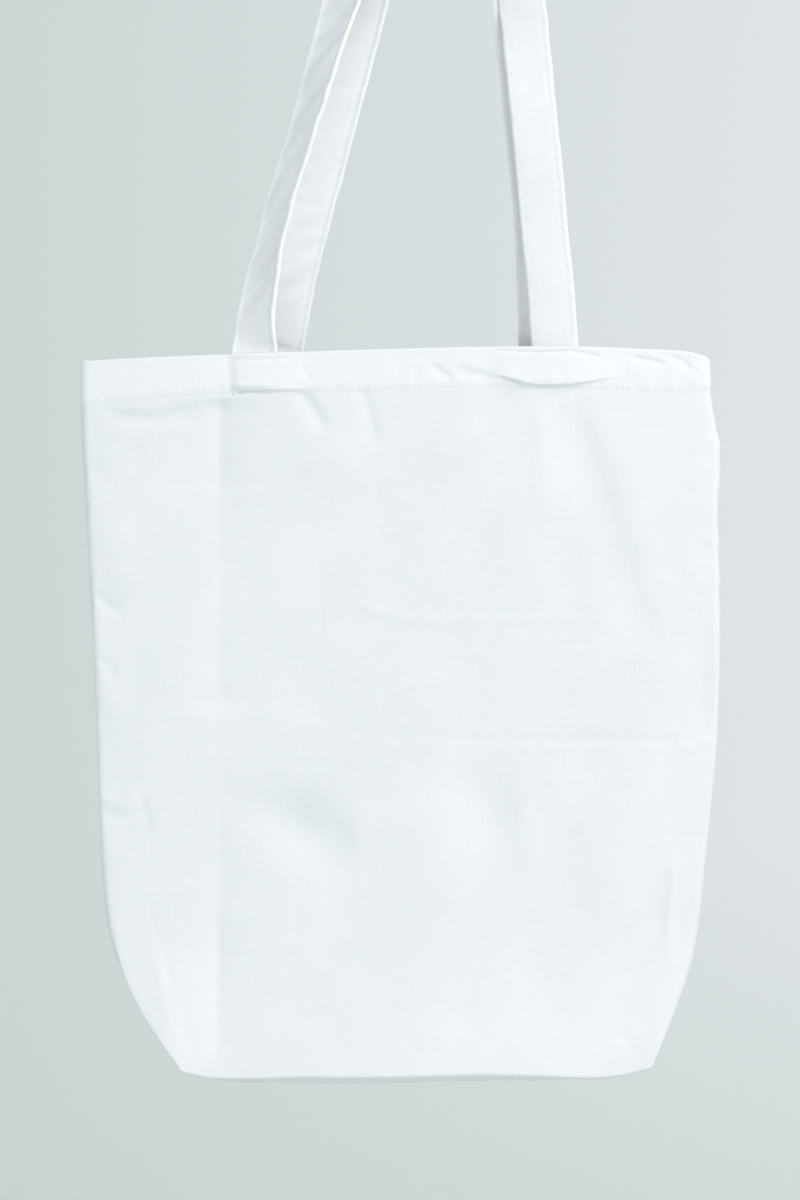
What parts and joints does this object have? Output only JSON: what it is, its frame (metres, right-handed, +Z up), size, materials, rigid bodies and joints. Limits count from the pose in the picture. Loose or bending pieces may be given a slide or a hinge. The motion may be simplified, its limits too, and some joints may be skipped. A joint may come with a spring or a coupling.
{
  "type": "canvas tote bag",
  "caption": "Plain white cotton tote bag with a hemmed mouth, a boxed base and long sewn shoulder straps, hanging from its straps.",
  "frame": {"origin": "on the ground plane under the middle of the base, at the lowest point of the sagging base", "axes": "+Z up along the hanging bag, +X along the mouth to the right as seen from the front, the front faces -Y"},
  "size_m": [0.3796, 0.0936, 0.7466],
  "materials": {
    "canvas": "plain-woven undyed white cotton, matt",
    "strap": "folded and edge-stitched white cotton, matt",
    "thread": "white spun thread"
  },
  "bodies": {
    "bag": {"back_hem": "canvas", "back_left_strap_end": "strap", "back_left_strap_stitching": "thread", "back_panel": "canvas", "back_right_strap_end": "strap", "back_right_strap_stitching": "thread", "bottom_seam": "canvas", "front_hem": "canvas", "front_left_strap_end": "strap", "front_left_strap_stitching": "thread", "front_panel": "canvas", "front_right_strap_end": "strap", "front_right_strap_stitching": "thread", "hem_stitching": "thread", "left_corner_seam": "canvas", "left_side_seam": "canvas", "right_corner_seam": "canvas", "right_side_seam": "canvas"},
    "front_handle": {"front_handle": "strap", "front_handle_stitching": "thread"},
    "back_handle": {"back_handle": "strap", "back_handle_stitching": "thread"}
  },
  "joints": [
    {"name": "front_handle_swing", "type": "hinge", "parent": "bag", "child": "front_handle", "pos_m": [0, -0.01118, 0.4383], "axis": [1, 0, 0], "range_deg": [0, 165]},
    {"name": "back_handle_swing", "type": "hinge", "parent": "bag", "child": "back_handle", "pos_m": [0, 0.01118, 0.4383], "axis": [-1, 0, 0], "range_deg": [0, 165]}
  ]
}
